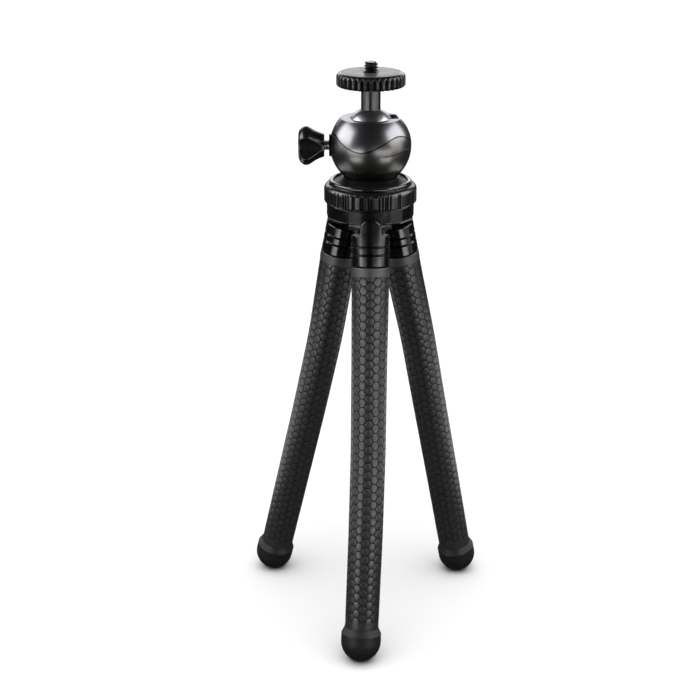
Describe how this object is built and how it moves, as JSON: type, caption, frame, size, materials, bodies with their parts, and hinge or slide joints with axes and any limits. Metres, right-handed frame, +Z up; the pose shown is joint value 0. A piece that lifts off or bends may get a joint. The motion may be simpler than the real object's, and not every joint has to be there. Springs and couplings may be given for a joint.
{
  "type": "flexible leg tripod",
  "caption": "Small tripod with bendable rubber-sleeved legs, a panning ball head with a side clamp knob, and a camera screw on a fluted wheel.",
  "frame": {"origin": "middle of the footprint, on the surface that the feet stand on", "axes": "+Z up through the camera screw, -Y towards the front leg, -X towards the clamp knob"},
  "size_m": [0.1138, 0.1074, 0.2695],
  "materials": {
    "gloss_black": "polished black moulding",
    "matte_black": "fine satin black moulding",
    "shell_upper": "glossy dark pearl coat",
    "shell_lower": "satin dark pearl coat",
    "flange_metal": "satin black coat with a worn bright rim",
    "dark_chrome": "polished dark plating",
    "stem_steel": "satin turned metal",
    "dark_steel": "blackened steel thread",
    "bright_steel": "plated steel thread",
    "fastener_steel": "plated steel",
    "brass_insert": "turned brass",
    "nylon": "natural nylon",
    "pad_rubber": "smooth rubber sheet with a light sheen",
    "sleeve_rubber": "matte dark rubber",
    "band_rubber": "smooth matte grey rubber",
    "foot_rubber": "smooth matte black rubber",
    "core_wire": "soft drawn wire",
    "ferrule_metal": "black oxide"
  },
  "bodies": {
    "hub": {"hub_body": "gloss_black", "hub_cover": "matte_black", "socket_screws": "fastener_steel", "pan_bush": "nylon", "front_socket": "gloss_black", "right_socket": "gloss_black", "left_socket": "gloss_black"},
    "head": {"base_flange": "flange_metal", "flange_screws": "fastener_steel", "pan_bolt": "fastener_steel", "lower_shell": "shell_lower", "upper_shell": "shell_upper", "ball_seat": "nylon", "clamp_insert": "brass_insert"},
    "pan_washer": {"pressure_washer": "fastener_steel"},
    "pan_ring": {"lock_ring": "matte_black"},
    "clamp_shoe": {"brake_shoe": "brass_insert"},
    "clamp_grip": {"clamp_screw": "bright_steel", "clamp_knob": "matte_black", "knob_cap": "dark_chrome"},
    "head_ball": {"ball": "dark_chrome"},
    "head_stem": {"stem": "stem_steel", "camera_screw": "dark_steel"},
    "wheel_nut": {"wheel_insert": "brass_insert"},
    "platform": {"platform_wheel": "matte_black", "platform_pad": "pad_rubber"},
    "front_root": {"front_ferrule": "ferrule_metal", "front_band": "band_rubber"},
    "front_leg_1": {"front_sleeve_1": "sleeve_rubber", "front_core_1": "core_wire"},
    "front_leg_2": {"front_sleeve_2": "sleeve_rubber", "front_core_2": "core_wire"},
    "front_leg_3": {"front_sleeve_3": "sleeve_rubber", "front_core_3": "core_wire"},
    "front_leg_4": {"front_sleeve_4": "sleeve_rubber", "front_core_4": "core_wire", "front_foot": "foot_rubber"},
    "right_root": {"right_ferrule": "ferrule_metal", "right_band": "band_rubber"},
    "right_leg_1": {"right_sleeve_1": "sleeve_rubber", "right_core_1": "core_wire"},
    "right_leg_2": {"right_sleeve_2": "sleeve_rubber", "right_core_2": "core_wire"},
    "right_leg_3": {"right_sleeve_3": "sleeve_rubber", "right_core_3": "core_wire"},
    "right_leg_4": {"right_sleeve_4": "sleeve_rubber", "right_core_4": "core_wire", "right_foot": "foot_rubber"},
    "left_root": {"left_ferrule": "ferrule_metal", "left_band": "band_rubber"},
    "left_leg_1": {"left_sleeve_1": "sleeve_rubber", "left_core_1": "core_wire"},
    "left_leg_2": {"left_sleeve_2": "sleeve_rubber", "left_core_2": "core_wire"},
    "left_leg_3": {"left_sleeve_3": "sleeve_rubber", "left_core_3": "core_wire"},
    "left_leg_4": {"left_sleeve_4": "sleeve_rubber", "left_core_4": "core_wire", "left_foot": "foot_rubber"}
  },
  "joints": [
    {"name": "head_pan", "type": "hinge", "parent": "hub", "child": "head", "pos_m": [0.00122, 0.01266, 0.2149], "axis": [0, 0, 1], "continuous": true},
    {"name": "washer_slide", "type": "slide", "parent": "hub", "child": "pan_washer", "axis": [0, 0, 1], "range_m": [-0.00074, 0]},
    {"name": "ring_turn", "type": "hinge", "parent": "pan_washer", "child": "pan_ring", "pos_m": [0.00122, 0.01266, 0.2066], "axis": [0, 0, 1], "range_deg": [-270, 0]},
    {"name": "ball_tilt", "type": "hinge", "parent": "head", "child": "head_ball", "pos_m": [0.00122, 0.01266, 0.2387], "axis": [-0.2079, 0.9781, 0], "range_deg": [-33, 90]},
    {"name": "stem_twist", "type": "hinge", "parent": "head_ball", "child": "head_stem", "pos_m": [0.00122, 0.01266, 0.2387], "axis": [0, 0, 1], "continuous": true},
    {"name": "nut_slide", "type": "slide", "parent": "head_stem", "child": "wheel_nut", "axis": [0, 0, 1], "range_m": [0, 0.0019]},
    {"name": "wheel_turn", "type": "hinge", "parent": "wheel_nut", "child": "platform", "pos_m": [0.00122, 0.01266, 0.25865], "axis": [0, 0, 1], "range_deg": [0, 540]},
    {"name": "shoe_slide", "type": "slide", "parent": "head", "child": "clamp_shoe", "axis": [-1, 0, 0], "range_m": [0, 0.00079]},
    {"name": "knob_turn", "type": "hinge", "parent": "clamp_shoe", "child": "clamp_grip", "pos_m": [0.00122, 0.01266, 0.232], "axis": [-1, 0, 0], "range_deg": [0, 360]},
    {"name": "front_swivel", "type": "hinge", "parent": "hub", "child": "front_root", "pos_m": [0.00122, -0.00054, 0.1939], "axis": [0, -0.2079, -0.9781], "range_deg": [-90, 90]},
    {"name": "front_bend_1", "type": "hinge", "parent": "front_root", "child": "front_leg_1", "pos_m": [0.00122, -0.00445, 0.17551], "axis": [-1, 0, 0], "range_deg": [-30, 30]},
    {"name": "front_bend_2", "type": "hinge", "parent": "front_leg_1", "child": "front_leg_2", "pos_m": [0.00074, -0.01315, 0.13626], "axis": [-1, 0, 0], "range_deg": [-30, 30]},
    {"name": "front_bend_3", "type": "hinge", "parent": "front_leg_2", "child": "front_leg_3", "pos_m": [0.00033, -0.02247, 0.09715], "axis": [-1, 0, 0], "range_deg": [-30, 30]},
    {"name": "front_bend_4", "type": "hinge", "parent": "front_leg_3", "child": "front_leg_4", "pos_m": [-0.00082, -0.03219, 0.05815], "axis": [-1, 0, 0], "range_deg": [-30, 30]},
    {"name": "right_swivel", "type": "hinge", "parent": "hub", "child": "right_root", "pos_m": [0.01265, 0.01926, 0.1939], "axis": [0.1801, 0.104, -0.9781], "range_deg": [-90, 90]},
    {"name": "right_bend_1", "type": "hinge", "parent": "right_root", "child": "right_leg_1", "pos_m": [0.01604, 0.02121, 0.17551], "axis": [0.5, -0.866, 0], "range_deg": [-30, 30]},
    {"name": "right_bend_2", "type": "hinge", "parent": "right_leg_1", "child": "right_leg_2", "pos_m": [0.02434, 0.02655, 0.13654], "axis": [0.5, -0.866, 0], "range_deg": [-30, 30]},
    {"name": "right_bend_3", "type": "hinge", "parent": "right_leg_2", "child": "right_leg_3", "pos_m": [0.0314, 0.03118, 0.09723], "axis": [0.5, -0.866, 0], "range_deg": [-30, 30]},
    {"name": "right_bend_4", "type": "hinge", "parent": "right_leg_3", "child": "right_leg_4", "pos_m": [0.0386, 0.03598, 0.05796], "axis": [0.5, -0.866, 0], "range_deg": [-30, 30]},
    {"name": "left_swivel", "type": "hinge", "parent": "hub", "child": "left_root", "pos_m": [-0.01021, 0.01926, 0.1939], "axis": [-0.1801, 0.104, -0.9781], "range_deg": [-90, 90]},
    {"name": "left_bend_1", "type": "hinge", "parent": "left_root", "child": "left_leg_1", "pos_m": [-0.01359, 0.02121, 0.17551], "axis": [0.5, 0.866, 0], "range_deg": [-30, 30]},
    {"name": "left_bend_2", "type": "hinge", "parent": "left_leg_1", "child": "left_leg_2", "pos_m": [-0.01983, 0.02561, 0.13604], "axis": [0.5, 0.866, 0], "range_deg": [-30, 30]},
    {"name": "left_bend_3", "type": "hinge", "parent": "left_leg_2", "child": "left_leg_3", "pos_m": [-0.02791, 0.03106, 0.09703], "axis": [0.5, 0.866, 0], "range_deg": [-30, 30]},
    {"name": "left_bend_4", "type": "hinge", "parent": "left_leg_3", "child": "left_leg_4", "pos_m": [-0.03649, 0.03688, 0.05818], "axis": [0.5, 0.866, 0], "range_deg": [-30, 30]}
  ],
  "couplings": [
    {"joint": "ring_turn", "follows": "washer_slide", "rad_per_m": 6283.2},
    {"joint": "wheel_turn", "follows": "nut_slide", "rad_per_m": 4947.4},
    {"joint": "knob_turn", "follows": "shoe_slide", "rad_per_m": 7854}
  ]
}
